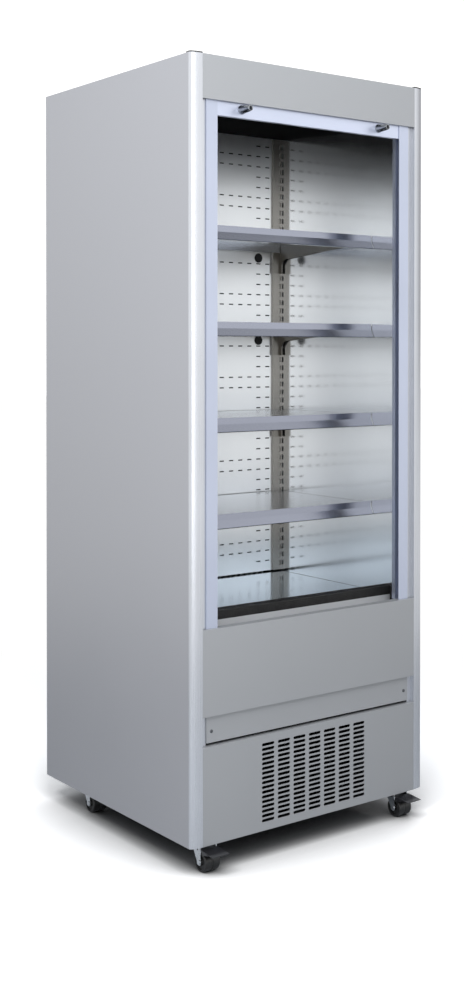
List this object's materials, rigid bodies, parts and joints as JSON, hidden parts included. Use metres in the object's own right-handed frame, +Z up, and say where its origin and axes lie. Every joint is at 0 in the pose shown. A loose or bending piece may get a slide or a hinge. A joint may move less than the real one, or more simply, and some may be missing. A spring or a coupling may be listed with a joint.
{
  "type": "open multideck display fridge",
  "caption": "Upright open-fronted display fridge on casters, with lift-out shelves on slotted uprights, a roller night blind and a slotted lower grille.",
  "frame": {"origin": "on the floor, under the middle of the overall bounding box", "axes": "+Z up, +X to the right seen from the front, the open front faces -Y"},
  "size_m": [0.78, 0.754, 2.003],
  "materials": {
    "silver_body": "satin silver-grey",
    "silver_panel": "satin silver-grey",
    "galvanised": "zinc-coated",
    "foam": "rigid foam",
    "profile": "satin anodised",
    "black_plastic": "matte",
    "black_panel": "satin black",
    "screw": "zinc-plated",
    "polished_steel": "polished",
    "black_rubber": "matte",
    "lamp": "opal",
    "grey_bracket": "satin grey",
    "blind_cloth": "silver weave",
    "knob": "satin grey",
    "fins": "mill",
    "fan_plastic": "matte",
    "copper": "drawn copper",
    "tray_plastic": "matte",
    "zinc": "zinc-plated",
    "wheel_rubber": "satin",
    "pedal": "satin black"
  },
  "bodies": {
    "cabinet": {"side_skin_left": "silver_body", "side_skin_right": "silver_body", "back_skin": "galvanised", "roof_skin": "silver_body", "insulation_foam": "foam", "corner_profiles": "profile", "profile_end_caps": "black_plastic", "header_panel": "silver_panel", "lower_front_panel": "silver_panel", "screw_band": "silver_panel", "band_screws": "screw", "grille_panel": "silver_panel", "guide_posts": "profile", "side_liners": "polished_steel", "perforated_back": "polished_steel", "cable_grommets": "black_rubber", "uprights": "polished_steel", "ceiling_panel": "black_panel", "air_honeycomb": "black_plastic", "led_lamp": "lamp", "front_sill": "polished_steel", "return_air_grille": "black_plastic", "shelf_brackets": "grey_bracket", "blind_cloth": "blind_cloth", "roller_brackets": "galvanised", "base_frame": "galvanised", "rear_cover": "galvanised", "condenser_coil": "fins", "condenser_fan_shroud": "black_panel", "fan_motors": "black_panel", "compressor": "black_panel", "compressor_grommets": "black_rubber", "pipework": "copper", "condensate_tray": "tray_plastic", "electrical_box": "tray_plastic", "evaporator_coil": "fins", "evaporator_fan_plate": "galvanised", "caster_plates": "zinc"},
    "deck": {"deck_pan": "polished_steel"},
    "blind_bar": {"blind_bar": "profile", "blind_knobs": "knob"},
    "blind_roller": {"blind_roller": "profile", "blind_roll": "blind_cloth"},
    "condenser_fan": {"condenser_fan": "fan_plastic"},
    "evaporator_fan_left": {"evaporator_fan_left": "fan_plastic"},
    "evaporator_fan_right": {"evaporator_fan_right": "fan_plastic"},
    "shelf_1": {"shelf_1": "polished_steel"},
    "shelf_2": {"shelf_2": "polished_steel"},
    "shelf_3": {"shelf_3": "polished_steel"},
    "shelf_4": {"shelf_4": "polished_steel"},
    "caster_front_left": {"caster_fork_front_left": "zinc"},
    "wheel_front_left": {"caster_wheel_front_left": "wheel_rubber"},
    "brake_front_left": {"brake_pedal_front_left": "pedal"},
    "caster_front_right": {"caster_fork_front_right": "zinc"},
    "wheel_front_right": {"caster_wheel_front_right": "wheel_rubber"},
    "brake_front_right": {"brake_pedal_front_right": "pedal"},
    "caster_rear_left": {"caster_fork_rear_left": "zinc"},
    "wheel_rear_left": {"caster_wheel_rear_left": "wheel_rubber"},
    "caster_rear_right": {"caster_fork_rear_right": "zinc"},
    "wheel_rear_right": {"caster_wheel_rear_right": "wheel_rubber"}
  },
  "joints": [
    {"name": "blind_pull", "type": "slide", "parent": "cabinet", "child": "blind_bar", "axis": [0, 0, -1], "range_m": [0, 1.25], "stiffness_N_per_m": 8, "springref_m": -1, "deforming": ["blind_cloth"]},
    {"name": "blind_roller_spin", "type": "hinge", "parent": "cabinet", "child": "blind_roller", "pos_m": [0, -0.307, 1.922], "axis": [1, 0, 0], "range_deg": [0, 4050]},
    {"name": "deck_lift", "type": "slide", "parent": "cabinet", "child": "deck", "axis": [0, 0, 1], "range_m": [0, 0.12]},
    {"name": "condenser_fan_spin", "type": "hinge", "parent": "cabinet", "child": "condenser_fan", "pos_m": [0, -0.236, 0.1925], "axis": [0, 1, 0], "continuous": true},
    {"name": "evaporator_fan_left_spin", "type": "hinge", "parent": "cabinet", "child": "evaporator_fan_left", "pos_m": [-0.15, 0.135, 0.548], "axis": [0, 1, 0], "continuous": true},
    {"name": "evaporator_fan_right_spin", "type": "hinge", "parent": "cabinet", "child": "evaporator_fan_right", "pos_m": [0.15, 0.135, 0.548], "axis": [0, 1, 0], "continuous": true},
    {"name": "shelf_1_lift", "type": "slide", "parent": "cabinet", "child": "shelf_1", "axis": [0, 0, 1], "range_m": [0, 0.12]},
    {"name": "shelf_2_lift", "type": "slide", "parent": "cabinet", "child": "shelf_2", "axis": [0, 0, 1], "range_m": [0, 0.12]},
    {"name": "shelf_3_lift", "type": "slide", "parent": "cabinet", "child": "shelf_3", "axis": [0, 0, 1], "range_m": [0, 0.12]},
    {"name": "shelf_4_lift", "type": "slide", "parent": "cabinet", "child": "shelf_4", "axis": [0, 0, 1], "range_m": [0, 0.12]},
    {"name": "swivel_front_left", "type": "hinge", "parent": "cabinet", "child": "caster_front_left", "pos_m": [-0.326, -0.297, 0.062], "axis": [0, 0, 1], "continuous": true},
    {"name": "roll_front_left", "type": "hinge", "parent": "caster_front_left", "child": "wheel_front_left", "pos_m": [-0.326, -0.319, 0.025], "axis": [1, 0, 0], "continuous": true},
    {"name": "press_brake_front_left", "type": "hinge", "parent": "caster_front_left", "child": "brake_front_left", "pos_m": [-0.326, -0.313, 0.0555], "axis": [1, 0, 0], "range_deg": [0, 12]},
    {"name": "swivel_front_right", "type": "hinge", "parent": "cabinet", "child": "caster_front_right", "pos_m": [0.326, -0.297, 0.062], "axis": [0, 0, 1], "continuous": true},
    {"name": "roll_front_right", "type": "hinge", "parent": "caster_front_right", "child": "wheel_front_right", "pos_m": [0.326, -0.319, 0.025], "axis": [1, 0, 0], "continuous": true},
    {"name": "press_brake_front_right", "type": "hinge", "parent": "caster_front_right", "child": "brake_front_right", "pos_m": [0.326, -0.313, 0.0555], "axis": [1, 0, 0], "range_deg": [0, 12]},
    {"name": "swivel_rear_left", "type": "hinge", "parent": "cabinet", "child": "caster_rear_left", "pos_m": [-0.326, 0.232, 0.062], "axis": [0, 0, 1], "continuous": true},
    {"name": "roll_rear_left", "type": "hinge", "parent": "caster_rear_left", "child": "wheel_rear_left", "pos_m": [-0.326, 0.21, 0.025], "axis": [1, 0, 0], "continuous": true},
    {"name": "swivel_rear_right", "type": "hinge", "parent": "cabinet", "child": "caster_rear_right", "pos_m": [0.326, 0.232, 0.062], "axis": [0, 0, 1], "continuous": true},
    {"name": "roll_rear_right", "type": "hinge", "parent": "caster_rear_right", "child": "wheel_rear_right", "pos_m": [0.326, 0.21, 0.025], "axis": [1, 0, 0], "continuous": true}
  ],
  "couplings": [
    {"joint": "blind_roller_spin", "follows": "blind_pull", "rad_per_m": 56}
  ]
}
